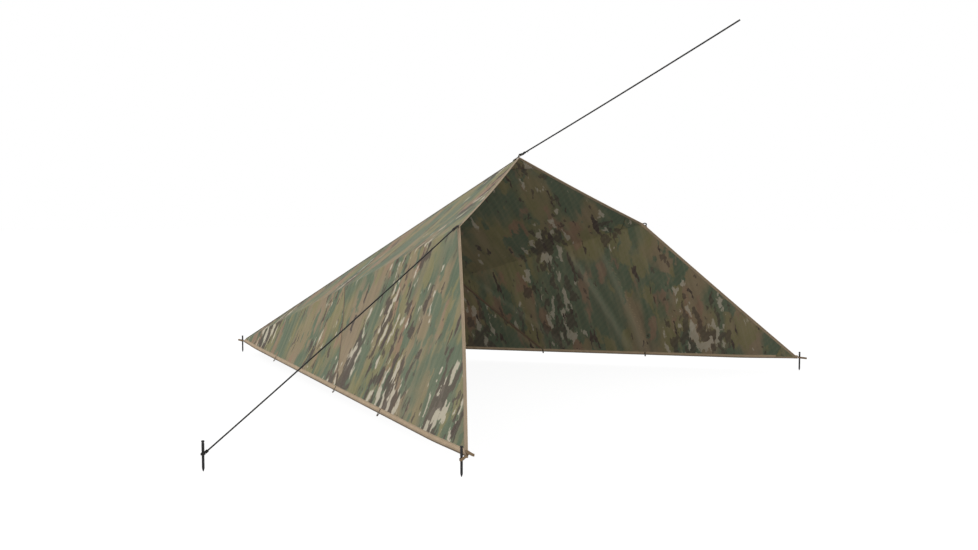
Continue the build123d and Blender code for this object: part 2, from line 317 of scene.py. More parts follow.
def make_object(name, points, faces, **attributes):
    mesh = bpy.data.meshes.new(name)
    mesh.from_pydata([tuple(p) for p in points], [], [tuple(f) for f in faces])
    mesh.validate()
    for key, values in attributes.items():
        store(mesh, key, values)
    mesh.polygons.foreach_set("use_smooth", [True] * len(mesh.polygons))
    obj = bpy.data.objects.new(name, mesh)
    bpy.context.scene.collection.objects.link(obj)
    return outward(obj)


def store(mesh, key, values):
    layer = mesh.attributes.new(key, "FLOAT_VECTOR", "POINT")
    layer.data.foreach_set("vector", np.asarray(values, np.float32).ravel())


def outward(obj):
    """Turns all faces of a closed mesh outwards."""
    bm = bmesh.new()
    bm.from_mesh(obj.data)
    bmesh.ops.recalc_face_normals(bm, faces=bm.faces)
    bm.to_mesh(obj.data)
    bm.free()
    return obj


def grid_faces(rows, cols, wrap_rows=False, wrap_cols=False):
    faces = []
    for i in range(rows if wrap_rows else rows - 1):
        below = (i + 1) % rows * cols
        for j in range(cols if wrap_cols else cols - 1):
            right = (j + 1) % cols
            faces.append((i * cols + j, i * cols + right, below + right, below + j))
    return faces


def swept_faces(count, ring, closed=False):
    """Faces of a closed section swept through count places, with both ends capped unless it closes."""
    faces = grid_faces(count, ring, wrap_rows=closed, wrap_cols=True)
    if not closed:
        last = (count - 1) * ring
        faces.append(tuple(range(ring)))
        faces.append(tuple(last + k for k in range(ring - 1, -1, -1)))
    return faces


def run_lengths(path):
    """Length travelled along a polyline up to each of its points."""
    return np.concatenate([[0], np.cumsum(np.linalg.norm(np.diff(path, axis=0), axis=1))])


def resample(points, count, closed=False):
    """Evenly spaced points along a polyline."""
    points = np.asarray(points, float)
    if closed:
        points = np.vstack([points, points[:1]])
    lengths = run_lengths(points)
    wanted = np.linspace(0, lengths[-1], count + 1 if closed else count)
    if closed:
        wanted = wanted[:-1]
    return np.stack([np.interp(wanted, lengths, points[:, k]) for k in range(3)], 1)


def tangents(path, closed=False):
    if closed:
        return unit(np.roll(path, -1, 0) - np.roll(path, 1, 0))
    return unit(np.gradient(path, axis=0))


def slab(name, half, q, top, bottom, print_place=(0, 0)):
    """A closed layer of cloth over a grid of pattern points, between two lifts."""
    rows, cols = q.shape[:2]
    n = rows * cols
    upper = half.place(q, np.full((rows, cols), top)).reshape(-1, 3)
    lower = half.place(q, np.full((rows, cols), bottom)).reshape(-1, 3)
    faces = grid_faces(rows, cols)
    faces += [tuple(n + k for k in f[::-1]) for f in faces]
    rim = list(range(cols))
    rim += [i * cols + cols - 1 for i in range(1, rows)]
    rim += [(rows - 1) * cols + j for j in range(cols - 2, -1, -1)]
    rim += [i * cols for i in range(rows - 2, 0, -1)]
    faces += [(b, a, n + a, n + b) for a, b in zip(rim, rim[1:] + rim[:1])]
    print_x = (q[..., 0] + print_place[0]) * half.sign
    print_y = q[..., 1] + print_place[1]
    # the third pattern coordinate is the strength of the painted fold highlight
    outer = np.stack([print_x, print_y, half.folds(q)[1]], -1).reshape(-1, 3)
    pattern = np.concatenate([outer, outer + [0, 0, INSIDE]])
    return make_object(name, np.concatenate([upper, lower]), faces, pattern=pattern)


def pattern_grid(half, u_values, v_values):
    """Pattern points at the given shares along (rear to front) and across (ridge, crease, ground)."""
    u, v = np.meshgrid(u_values, v_values, indexing="ij")
    roof = half.flat_apex + (half.flat_shoulder - half.flat_apex) * np.clip(v, 0, 1)[..., None]
    flap = half.flat_shoulder + (half.flat_front - half.flat_shoulder) * np.clip(v - 1, 0, 1)[..., None]
    return np.where((v > 1)[..., None], flap, roof) * u[..., None]


def across_values():
    """Places across a half, with extra ones near the ridge and on both sides of the crease."""
    roof, flap = np.linspace(0, 1, 34), np.linspace(1, 2, 48)
    near_ridge = (0.006, 0.015, 0.03)
    near_crease = (0.97, 0.98, 0.99, 1.01, 1.02, 1.03)
    return np.unique(np.round(np.concatenate([roof, flap, near_ridge, near_crease]), 6))


def hem_profile(outer, inner, lift, back, roll):
    """Section of a binding folded over the cloth edge: (inward, lift) points, rolled at the fold."""
    turns = 8
    middle = (lift + back) / 2
    radius = (lift - back) / 2 + roll
    points = [(outer, lift - 0.25 * MM), (outer - 1.2 * MM, lift)]
    points += [(outer * k, lift) for k in (0.75, 0.5)]
    points.append((outer * 0.3, lift + roll * 0.4))
    for k in range(turns + 1):
        a = math.pi / 2 + math.pi * k / turns
        points.append((radius * 0.9 * math.cos(a), middle + radius * math.sin(a)))
    points.append((inner * 0.35, back - roll * 0.4))
    points += [(inner * k, back) for k in (0.5, 0.75)]
    points += [(inner - 1.2 * MM, back), (inner, back + 0.25 * MM)]
    return points


def sweep(name, half, edge, inward, profile):
    """A binding swept along an edge of the pattern, following the cloth."""
    count = len(edge)
    inward = np.broadcast_to(inward, edge.shape)
    lengths = run_lengths(edge)
    base = half.place(edge, np.zeros(count))
    outward_of_edge = unit(base - half.place(edge + inward * 4 * MM, np.zeros(count)))
    rows, coords = [], []
    travelled = 0.0
    for k, (reach, lift) in enumerate(profile):
        row = half.place(edge + inward * max(reach, 0.0), np.full(count, lift))
        rows.append(row + outward_of_edge * max(-reach, 0.0))
        if k:
            travelled += math.dist(profile[k - 1], profile[k])
        coords.append(np.stack([lengths, np.full(count, max(reach, 0.0)), np.full(count, travelled)], 1))
    points = np.stack(rows, 1).reshape(-1, 3)
    tape = np.stack(coords, 1).reshape(-1, 3)
    return make_object(name, points, swept_faces(count, len(profile)), tape=tape)


def band(name, path, across, width, closed=False):
    """Flat webbing following a path, its width along across, with rounded long edges."""
    path = np.asarray(path, float)
    along = tangents(path, closed)
    across = unit(np.broadcast_to(np.asarray(across, float), path.shape))
    across = unit(across - along * (across * along).sum(1)[:, None])
    normal = np.cross(along, across)
    edge, face = width / 2, WEB / 2
    lower = [(k, -face) for k in (-edge + face, -edge / 2, 0, edge / 2, edge - face)]
    section = [(-edge, 0)] + lower + [(edge, 0)] + [(k, face) for k, _ in lower[::-1]]
    lengths = run_lengths(path)
    points = [p + across[i] * a + normal[i] * b for i, p in enumerate(path) for a, b in section]
    tape = [(length, a + edge, 0) for length in lengths for a, _ in section]
    return make_object(name, points, swept_faces(len(path), len(section), closed), tape=tape)


def tube(name, path, radius=CORD, sides=14):
    """A round cord along a path, with its length and turn stored for the braid."""
    path = np.asarray(path, float)
    along = tangents(path)
    normal = np.cross(along[0], UP)
    if np.linalg.norm(normal) < 0.1:
        normal = np.cross(along[0], [1.0, 0.0, 0.0])
    normal = unit(normal)
    points, cord = [], []
    for p, direction, length in zip(path, along, run_lengths(path)):
        normal = unit(normal - direction * (normal @ direction))
        side = np.cross(direction, normal)
        for k in range(sides):
            a = 2 * math.pi * k / sides
            points.append(p + (normal * math.cos(a) + side * math.sin(a)) * radius)
            cord.append((length, math.cos(a) * radius, math.sin(a) * radius))
    return make_object(name, points, swept_faces(len(path), sides), cord=cord)


def arc(centre, first, second, start, stop, count=14):
    """Points on an ellipse spanned by two half axes, between two angles in degrees."""
    a = np.radians(np.linspace(start, stop, count))[:, None]
    return np.asarray(centre) + np.cos(a) * first + np.sin(a) * second


def coil(start, direction, first, turns, radius, pitch, per_turn=18):
    """A helix that begins at start and winds along direction."""
    second = np.cross(direction, first)
    t = np.linspace(0, turns, int(turns * per_turn) + 1)[:, None]
    a = 2 * math.pi * t
    return start + direction * pitch * t + (first * np.cos(a) + second * np.sin(a)) * radius


def sagging(start, end, drop, count=90):
    t = np.linspace(0, 1, count)[:, None]
    return start + (end - start) * t - UP * drop * 4 * t * (1 - t)


def join(name, pieces):
    """Several meshes as one piece."""
    bpy.ops.object.select_all(action="DESELECT")
    for piece in pieces:
        piece.select_set(True)
    whole = pieces[0]
    bpy.context.view_layer.objects.active = whole
    bpy.ops.object.join()
    whole.name = name
    whole.data.name = name
    return whole


# ---- materials

class Nodes:
    """Short forms for the shader nodes used here."""

    def __init__(self, name):
        self.material = bpy.data.materials.new(name)
        self.material.use_nodes = True
        self.tree = self.material.node_tree
        self.shader = self.tree.nodes["Principled BSDF"]

    def new(self, kind, **settings):
        node = self.tree.nodes.new(kind)
        for key, value in settings.items():
            setattr(node, key, value)
        return node

    def link(self, value, socket):
        if isinstance(value, bpy.types.NodeSocket):
            self.tree.links.new(value, socket)
        else:
            socket.default_value = value

    def attribute(self, name):
        return self.new("ShaderNodeAttribute", attribute_name=name).outputs["Vector"]

    def math(self, operation, a, b=0.0):
        node = self.new("ShaderNodeMath", operation=operation)
        self.link(a, node.inputs[0])
        self.link(b, node.inputs[1])
        return node.outputs[0]

    def less(self, value):
        """One minus a value."""
        return self.math("SUBTRACT", 1.0, value)

    def vector(self, operation, a, b):
        node = self.new("ShaderNodeVectorMath", operation=operation)
        self.link(a, node.inputs[0])
        self.link(b, node.inputs[1])
        return node.outputs[0]

    def part(self, vector, axis):
        node = self.new("ShaderNodeSeparateXYZ")
        self.link(vector, node.inputs[0])
        return node.outputs[axis]

    def noise_node(self, vector, scale, detail, rough):
        node = self.new("ShaderNodeTexNoise", noise_dimensions="3D")
        self.link(vector, node.inputs["Vector"])
        node.inputs["Scale"].default_value = scale
        node.inputs["Detail"].default_value = detail
        node.inputs["Roughness"].default_value = rough
        return node

    def noise(self, vector, scale, detail=3.0, rough=0.5):
        return self.noise_node(vector, scale, detail, rough).outputs["Fac"]

    def noise_at(self, vector, place, scale, detail):
        """Noise read at another place of its field."""
        return self.noise(self.vector("ADD", vector, place), scale, detail)

    def wobble(self, vector, scale, amount):
        """A jagged displacement of a vector field."""
        node = self.noise_node(vector, scale, 4.0, 0.65)
        centred = self.vector("SUBTRACT", node.outputs["Color"], (0.5, 0.5, 0.5))
        return self.vector("MULTIPLY", centred, amount)

    def ramp(self, value, low, high):
        node = self.new("ShaderNodeMapRange", interpolation_type="SMOOTHSTEP")
        self.link(value, node.inputs["Value"])
        node.inputs["From Min"].default_value = low
        node.inputs["From Max"].default_value = high
        return node.outputs["Result"]

    def mix(self, factor, a, b):
        node = self.new("ShaderNodeMix", data_type="RGBA")
        self.link(factor, node.inputs[0])
        self.link(a, node.inputs[6])
        self.link(b, node.inputs[7])
        return node.outputs[2]

    def tint(self, factor, strength, a, b):
        """Mixes b over a by a factor weakened to a strength."""
        return self.mix(self.math("MULTIPLY", factor, strength), a, b)

    def bump(self, height, strength, distance=1.0):
        node = self.new("ShaderNodeBump")
        self.link(height, node.inputs["Height"])
        node.inputs["Strength"].default_value = strength
        node.inputs["Distance"].default_value = distance
        return node.outputs["Normal"]

    def finish(self, color, rough, normal=None, sheen=0.0, specular=0.25):
        self.link(color, self.shader.inputs["Base Color"])
        self.link(rough, self.shader.inputs["Roughness"])
        self.shader.inputs["Specular IOR Level"].default_value = specular
        self.shader.inputs["Sheen Weight"].default_value = sheen
        if normal is not None:
            self.link(normal, self.shader.inputs["Normal"])
        return self.material


def srgb(r, g, b):
    """Linear colour with alpha from 0-255 display values."""
    def one(c):
        c /= 255
        return c / 12.92 if c <= 0.04045 else ((c + 0.055) / 1.055) ** 2.4
    return one(r), one(g), one(b), 1.0


GREEN = srgb(92, 107, 84)
KHAKI = srgb(130, 124, 84)
TAN = srgb(143, 125, 100)
ROSE = srgb(146, 116, 94)
BARK = srgb(76, 64, 56)
CREAM = srgb(196, 186, 166)
BRUSHED_PALE = srgb(160, 148, 118)
BRUSHED_DARK = srgb(88, 88, 68)
FADED = srgb(160, 150, 130)
# painted highlight along the tension folds
FOLD_HIGHLIGHT = srgb(152, 150, 126)
RIPSTOP_THREAD = srgb(60, 54, 44)
RIB = srgb(146, 132, 108)
THREAD = srgb(112, 98, 78)
# painted shade in the gaps between the woven ribs of tapes
TAPE_GAP_SHADE = srgb(64, 54, 42)
# painted shade along the folded lower edge of the ground hem
EDGE_SHADE_BROWN = srgb(70, 58, 44)
# one tan tape in two copies: darker as painted shade on the front hems, brighter as painted light on the ground
# hems
SHADED_FRONT_BINDING = srgb(165, 145, 119)
LIT_GROUND_BINDING = srgb(186, 163, 134)
WEBBING = srgb(92, 82, 66)
TAN_WEBBING = srgb(142, 118, 90)
SEAM_BROWN = srgb(112, 92, 72)
FELL_BROWN = srgb(118, 100, 80)
# the ridge tape's colour, darkened as painted shade along the ridge
RIDGE_SHADE_BROWN = srgb(76, 68, 52)
CORD_COLOR = srgb(42, 41, 39)
# painted shade between the braided strands
CORD_GAP_SHADE = srgb(26, 25, 23)
DUST = srgb(96, 92, 82)
PEG_BLACK = srgb(22, 22, 23)
PEG_SCUFF = srgb(78, 76, 74)

CAMO_STRETCH = (0.60, 1.30, 0.0)  # blotches are drawn out down the slope of the tarp
MARK_STRETCH = (0.72, 1.40, 0.0)
CAMO_LEAN = 0.45  # and lean back to the rear corner
CLUSTER_AT = (7.8, 3.09, 9)
RIB_LEAN = 0.25
RIB_PITCH = 34 * MM
RIPSTOP = 3.1 * MM
YARN = 0.45 * MM
# painted shade: the inner face of the cloth is darkened by this much
INSIDE_SHADE = (0.80, 0.79, 0.80)


def stretched(n, field, scale, amount, stretch):
    """A pattern field with jagged outlines, drawn out down the slope."""
    return n.vector("MULTIPLY", n.vector("ADD", field, n.wobble(field, scale, amount)), stretch)


def blotches(n, p):
    """The printed ground colours: khaki and tan, then green, rose, khaki and leaf blotches."""
    ground = n.mix(n.ramp(n.noise_at(p, (3, 7, 1), 2.4, 2), 0.36, 0.64), KHAKI, TAN)
    color = n.mix(n.ramp(n.noise_at(p, (5, 19, 2), 2.6, 3), 0.43, 0.56), ground, GREEN)
    color = n.tint(n.ramp(n.noise_at(p, (11, 2, 4), 4.4, 3.5), 0.56, 0.62), 0.8, color, ROSE)
    color = n.tint(n.ramp(n.noise_at(p, (31, 8, 6), 5.4, 4), 0.56, 0.61), 0.85, color, KHAKI)
    return n.mix(n.ramp(n.noise_at(p, (23, 4, 8), 6.2, 4), 0.58, 0.62), color, GREEN)


def brushed(n, leaned, color):
    """Fine pale and dark streaks down the slope."""
    streaks = n.noise(n.vector("MULTIPLY", leaned, (3.0, 26.0, 1.0)), 1.0, 3)
    color = n.tint(n.ramp(streaks, 0.45, 0.75), 0.32, color, BRUSHED_PALE)
    return n.tint(n.ramp(streaks, 0.50, 0.25), 0.34, color, BRUSHED_DARK)


def bark_marks(n, p, marks, inside, color):
    """Clusters of cream and bark marks, and single flecks between them."""
    cluster = n.math("MULTIPLY", n.noise_at(p, CLUSTER_AT, 2.5, 1), 0.75)
    field = n.noise_at(marks, (2, 13, 5), 12.0, 4)
    dark = n.ramp(n.math("ADD", field, cluster), 1.012, 1.026)
    light = n.ramp(n.math("ADD", n.less(field), cluster), 1.055, 1.075)
    strength = n.math("SUBTRACT", 0.88, n.math("MULTIPLY", inside, 0.16))
    color = n.tint(light, strength, color, CREAM)
    color = n.tint(dark, strength, color, BARK)
    flecks = n.noise(n.vector("MULTIPLY", marks, (0.70, 1.4, 1.0)), 7.5, 3)
    color = n.mix(n.ramp(flecks, 0.635, 0.65), color, BARK)
    return n.tint(n.ramp(flecks, 0.31, 0.29), 0.75, color, CREAM)


def fading_and_fold_highlights(n, flat, fold_highlight_mask, inside, color):
    """Soft fading all over, and pale painted highlights along the tension folds."""
    color = n.tint(n.ramp(n.noise(flat, 1.4, 3), 0.42, 0.75), 0.10, color, FADED)
    # the pale fold lines are painted highlight, shown more strongly on the inner face
    shown = n.math("ADD", 0.10, n.math("MULTIPLY", inside, 0.34))
    return n.tint(fold_highlight_mask, shown, color, FOLD_HIGHLIGHT)


def camouflage():
    """Printed woodland blotches on a ripstop weave, laid out in pattern metres."""
    n = Nodes("camouflage_ripstop")
    stored = n.attribute("pattern")
    flat = n.vector("MULTIPLY", stored, (1.0, 1.0, 0.0))
    inside = n.math("GREATER_THAN", n.part(stored, 2), INSIDE / 2)
    # strength of the painted fold highlight
    fold_highlight_mask = n.math("SUBTRACT", n.part(stored, 2), n.math("MULTIPLY", inside, INSIDE))
    away = n.math("ABSOLUTE", n.part(flat, 0))
    leaning = n.new("ShaderNodeCombineXYZ")
    n.link(n.part(flat, 0), leaning.inputs[0])
    n.link(n.math("ADD", n.part(flat, 1), n.math("MULTIPLY", away, CAMO_LEAN)), leaning.inputs[1])
    leaned = leaning.outputs[0]
    p = stretched(n, leaned, 7.0, (0.16, 0.08, 0.0), CAMO_STRETCH)
    marks = stretched(n, leaned, 16.0, (0.07, 0.05, 0.0), MARK_STRETCH)
    color = bark_marks(n, p, marks, inside, brushed(n, leaned, blotches(n, p)))
    color = fading_and_fold_highlights(n, flat, fold_highlight_mask, inside, color)

    thread, fine = 0.0, 0.0
    for axis in (0, 1):
        wave = n.math("PINGPONG", n.part(flat, axis), RIPSTOP)
        thread = n.math("ADD", thread, n.less(n.ramp(wave, 0.25 * MM, 0.55 * MM)))
        fine = n.math("ADD", fine, n.math("PINGPONG", n.part(flat, axis), YARN))
    slanted = n.math("ADD", away, n.math("MULTIPLY", n.part(flat, 1), RIB_LEAN))
    rib = n.math("PINGPONG", slanted, RIB_PITCH / 2)
    rib = n.less(n.ramp(rib, 0.1 * RIB_PITCH, 0.4 * RIB_PITCH))
    color = n.tint(thread, 0.10, color, RIPSTOP_THREAD)
    color = n.tint(rib, n.math("ADD", 0.04, n.math("MULTIPLY", inside, 0.08)), color, RIB)
    # painted shade on the inner face
    color = n.mix(inside, color, n.vector("MULTIPLY", color, INSIDE_SHADE))
    weave = n.math("ADD", n.math("MULTIPLY", thread, 0.25 * MM), fine)
    crumple = n.noise(flat, 26, 4)
    height = n.math("ADD", weave, n.math("MULTIPLY", crumple, 1.6 * MM))
    rough = n.math("ADD", 0.62, n.math("MULTIPLY", crumple, 0.25))
    return n.finish(color, rough, n.bump(height, 0.5), sheen=0.06)


def stitched(name, base, width, rows, rib=1.1 * MM, edge_shade=0.0):
    """Woven tape with ribs across it and painted shade in the gaps between them, mottled wear, painted shade along
    its folded outer edge and rows of stitches.
    """
    n = Nodes(name)
    tape = n.attribute("tape")
    along, across = n.part(tape, 0), n.part(tape, 1)
    cords = n.ramp(n.math("PINGPONG", along, rib / 2), 0.05 * MM, rib / 2)
    mottled = n.noise(n.vector("MULTIPLY", tape, (1, 3, 1)), 18, 4)
    darker = (base[0] * 0.62, base[1] * 0.60, base[2] * 0.58, 1)
    color = n.tint(n.ramp(mottled, 0.3, 0.7), 0.35, base, darker)
    # painted shade in the gaps between the ribs
    color = n.tint(n.less(cords), 0.25, color, TAPE_GAP_SHADE)
    height = n.math("MULTIPLY", cords, 0.12 * MM)
    # painted shade, mottled, along the folded outer edge
    if edge_shade:
        shaded_edge = n.less(n.ramp(across, 0.1 * MM, edge_shade))
        shaded_edge = n.math("MULTIPLY", shaded_edge, n.ramp(mottled, 0.05, 0.45))
        color = n.tint(shaded_edge, 0.85, color, EDGE_SHADE_BROWN)
    for row in rows:
        off = n.math("ABSOLUTE", n.math("SUBTRACT", across, row * width))
        on_row = n.less(n.ramp(off, 0.35 * MM, 0.75 * MM))
        dash = n.ramp(n.math("PINGPONG", along, 2.2 * MM), 0.35 * MM, 0.8 * MM)
        stitch = n.math("MULTIPLY", on_row, dash)
        color = n.mix(stitch, color, THREAD)
        height = n.math("ADD", height, n.math("MULTIPLY", stitch, 0.5 * MM))
        dimple = n.less(n.ramp(off, 0.5 * MM, 2.4 * MM))
        height = n.math("SUBTRACT", height, n.math("MULTIPLY", dimple, 0.35 * MM))
    rough = n.math("ADD", 0.72, n.math("MULTIPLY", mottled, 0.2))
    return n.finish(color, rough, n.bump(height, 0.8), sheen=0.1)


def braided_cord():
    """Braided sheath: two sets of strands winding opposite ways, with painted shade between the strands."""
    n = Nodes("braided_cord")
    cord = n.attribute("cord")
    turn = n.math("ARCTAN2", n.part(cord, 2), n.part(cord, 1))
    lead = n.math("MULTIPLY", n.part(cord, 0), 520.0)
    height = 0.0
    for direction in (1.0, -1.0):
        phase = n.math("ADD", n.math("MULTIPLY", turn, 4.0), n.math("MULTIPLY", lead, direction))
        height = n.math("MAXIMUM", height, n.math("SINE", phase))
    dust = n.noise(cord, 60, 3)
    # painted shade where the strands dip
    color = n.mix(n.ramp(height, 0.2, 1.0), CORD_GAP_SHADE, CORD_COLOR)
    color = n.tint(n.ramp(dust, 0.45, 0.8), 0.35, color, DUST)
    return n.finish(color, 0.8, n.bump(n.math("MULTIPLY", height, 0.35 * MM), 0.9), sheen=0.1)


def peg_coating():
    """Black coating over metal, scuffed to bare grey in spots and scratches."""
    n = Nodes("black_peg")
    place = n.new("ShaderNodeTexCoord").outputs["Object"]
    scratches = n.noise(n.vector("MULTIPLY", place, (1, 1, 0.12)), 900, 5, 0.6)
    spots = n.noise(place, 240, 4)
    wear_and_fold_highlight = n.math("ADD", n.math("MULTIPLY", scratches, 0.6), n.math("MULTIPLY", spots, 0.5))
    wear_and_fold_highlight = n.ramp(wear_and_fold_highlight, 0.60, 0.70)
    n.link(n.math("MULTIPLY", wear_and_fold_highlight, 0.7), n.shader.inputs["Metallic"])
    rough = n.math("ADD", 0.38, n.math("MULTIPLY", spots, 0.3))
    normal = n.bump(scratches, 0.25, 0.2 * MM)
    return n.finish(n.mix(wear_and_fold_highlight, PEG_BLACK, PEG_SCUFF), rough, normal, specular=0.5)


CAMO = camouflage()
# shaded copy of the tan tape for the front hems, lit copy with painted shade on its lower edge for the ground hems
SHADED_FRONT_BIND = stitched("tan_binding", SHADED_FRONT_BINDING, FRONT_HEM, (0.2, 0.88))
LIT_GROUND_BIND = stitched("ground_binding", LIT_GROUND_BINDING, HEM_WIDTH, (0.35, 0.88), edge_shade=9 * MM)
TAPE = stitched("seam_tape", SEAM_BROWN, SEAM_TAPE, (0.15, 0.85))
FELL = stitched("felled_seam", FELL_BROWN, FELL_WIDTH, (0.25, 0.75))
# ridge tape whose dark colour is painted shade
RIDGE = stitched("ridge_tape", RIDGE_SHADE_BROWN, RIDGE_HALF * 2, (0.3, 0.7))
STRAP = stitched("webbing", WEBBING, 12 * MM, (0.2, 0.8), rib=1.6 * MM)
TAN_STRAP = stitched("tan_webbing", TAN_WEBBING, 10 * MM, (0.2, 0.8), rib=1.6 * MM)
ROPE = braided_cord()
STEEL = peg_coating()


# ---- fitting pieces to the frame

def bend_on_crease(piece, half):
    """Bakes the piece's transform in place; the crease directions worked out here are not used, so the piece does
    not bend.
    """
    axis = unit(half.shoulder)
    along_roof = unit(np.cross(axis, half.roof_out)) * half.sign
    along_flap = unit(np.cross(axis, half.flap_out)) * half.sign
    across = unit(along_roof + along_flap)
    if across @ (half.front - half.shoulder) < 0:
        across = -across
    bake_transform(piece)


def fit(piece, material, slot, holder, *nodes):
    """Dresses a piece and hangs it on a body, or for a half only bakes its transform in place."""
    piece.data.materials.clear()
    piece.data.materials.append(material)
    if isinstance(holder, Half):
        bend_on_crease(piece, holder)
    else:
        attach(piece, holder)
    if nodes:
        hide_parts(*nodes)


# ---- cloth, bindings and tapes

def cloth(half):
    side = half.side
    across = across_values()
    spans = {"rear": (REAR_START, SEAM_PLACE, 90), "front": (SEAM_PLACE, FRONT_STOP, 80)}
    for name, span in spans.items():
        q = pattern_grid(half, np.linspace(*span), across)
        piece = slab(f"{side}_{name}_cloth", half, q, 0, -SHEET, PRINT_PLACE[side][name])
        fit(piece, CAMO, "camouflage_ripstop", half, f"roof_{side}_{name}_cloth", f"{side}_flap_{name}_cloth")


def edge_line(start, end, count, skip=0.0, stop=1.0):
    t = np.linspace(skip, stop, count)[:, None]
    return start + (end - start) * t


def ground_binding(half):
    side = half.side
    profile = hem_profile(HEM_WIDTH, HEM_WIDTH * 0.9, 0.7 * MM, -SHEET - 0.8 * MM, roll=1.6 * MM)
    length = np.linalg.norm(half.flat_front)
    line = edge_line(REAR, half.flat_front, 260, 0.045 / length, 1 - 0.006 / length)
    hem = sweep(f"{side}_ground_hem", half, line, half.ground_inward, profile)
    fit(hem, LIT_GROUND_BIND, "tan_binding_tape", half.flap, f"{side}_flap_ground_hem")


def front_binding(half):
    side = half.side
    profile = hem_profile(FRONT_HEM, FRONT_HEM * 0.7, 1.0 * MM, -SHEET - 1.1 * MM, roll=0.8 * MM)
    roof_edge = edge_line(half.flat_apex, half.flat_shoulder, 70)
    flap_edge = edge_line(half.flat_shoulder, half.flat_front, 100, 0.012, 0.990)
    line = np.vstack([roof_edge, flap_edge])
    along = tangents(line)
    inward = np.stack([-along[:, 1], along[:, 0]], 1)
    inward = np.where(inward[:, 1:] < 0, inward, -inward)
    hem = sweep(f"{side}_front_hem", half, line, inward, profile)
    fit(hem, SHADED_FRONT_BIND, "tan_binding_tape", half, f"roof_{side}_front_hem", f"{side}_flap_front_hem")


def tape_piece(name, half, line_a, line_b, top, bottom):
    """A tape between two pattern lines, with its own along and across coordinates."""
    strips = 5
    t = np.linspace(0, 1, strips)
    q = line_a[:, None, :] * (1 - t)[:, None] + line_b[:, None, :] * t[:, None]
    piece = slab(name, half, q, top, bottom)
    lengths = run_lengths(line_a)
    width = np.linalg.norm(line_b - line_a, axis=1)
    along = np.repeat(lengths, strips)
    flat = np.stack([along, np.outer(width, t).ravel(), np.zeros(len(along))], 1)
    store(piece.data, "tape", np.concatenate([flat, flat]))
    return piece


def seam(half):
    """Tape over the cross seam inside, and the narrow felled seam that shows outside."""
    side = half.side
    centre = pattern_grid(half, [SEAM_PLACE], np.linspace(0.0, 2.0, 160))[0]
    centre = centre[half.from_ground(centre) > HEM_WIDTH + 1 * MM]
    forward = -inward_from(half.flat_apex, half.flat_front, REAR)
    reach = forward * SEAM_TAPE / 2
    inside = tape_piece(f"{side}_seam_tape", half, centre - reach, centre + reach,
                        -SHEET - 0.1 * MM, -SHEET - 0.8 * MM)
    reach = forward * FELL_WIDTH / 2
    fell = tape_piece(f"{side}_fell", half, centre - reach, centre + reach, 0.7 * MM, 0.05 * MM)
    fit(inside, TAPE, "tan_binding_tape", half, f"roof_{side}_seam_tape", f"{side}_flap_seam_tape")
    fit(fell, FELL, "camouflage_ripstop", half)


def ridge():
    """Folded tape sewn over the ridge, one closed band across both halves."""
    count = 200
    stop = FRONT_STOP - HEM_WIDTH / np.linalg.norm(LEFT.flat_apex)
    line = edge_line(REAR, LEFT.flat_apex, count, RIDGE_START, stop)
    lengths = np.linalg.norm(line - line[0], axis=1)
    section = [(1, 0.05), (1, 0.65), (0.55, 0.9), (0.25, 2.2), (0, 3.2)]
    mirrored = [(-share, lift) for share, lift in section[-2::-1]]
    rows, tape = [], []
    for share, lift in section + mirrored + [(0, 0.05)]:
        off = np.array([abs(share) * RIDGE_HALF, 0])
        row = LEFT.place(line + off, np.full(count, lift * MM))
        rows.append(row * [-1, 1, 1] if share < 0 else row)
        tape.append(np.stack([lengths, np.full(count, RIDGE_HALF * (1 - share)), np.zeros(count)], 1))
    piece = make_object("ridge_tape_sewn", np.stack(rows, 1).reshape(-1, 3), swept_faces(count, len(rows)),
                        tape=np.stack(tape, 1).reshape(-1, 3))
    fit(piece, RIDGE, "tan_binding_tape", "roof", "ridge_tape")


def patch(half, name, corner, first, second, start=0.02):
    """A triangular reinforcement under the cloth, between a corner and two directions."""
    a = corner + unit(first - corner) * PATCH_REACH
    b = corner + unit(second - corner) * PATCH_REACH
    s = np.linspace(start, 1, 14)[:, None, None]
    t = np.linspace(0, 1, 14)[None, :, None]
    q = corner + s * ((a - corner) * (1 - t) + (b - corner) * t)
    middle = (corner + a + b) / 3
    q = middle + (q - middle) * PATCH_FILL
    return slab(f"{name}_{half.side}_patch_sewn", half, q, -SHEET - 0.1 * MM, -SHEET - 0.9 * MM)


def patches(half):
    """Inside reinforcements at the shoulder, the front corner, the apex and the rear corner."""
    side = half.side
    apex, shoulder, front = half.flat_apex, half.flat_shoulder, half.flat_front
    slot = "camouflage_ripstop"
    shared = (("apex_patch",), ("rear_patch",)) if side == "left" else ((), ())
    at_shoulder = patch(half, "shoulder", shoulder, apex, REAR)
    fit(at_shoulder, CAMO, slot, half, f"shoulder_{side}_patch")
    at_front = patch(half, "front", front, shoulder, REAR)
    fit(at_front, CAMO, slot, half.flap, f"front_{side}_patch")
    at_apex = patch(half, "apex", apex, REAR, shoulder)
    fit(at_apex, CAMO, slot, "roof", *shared[0])
    at_rear = patch(half, "rear", REAR, apex, shoulder, start=0.3)
    fit(at_rear, CAMO, slot, half, *shared[1])


# ---- webbing loops

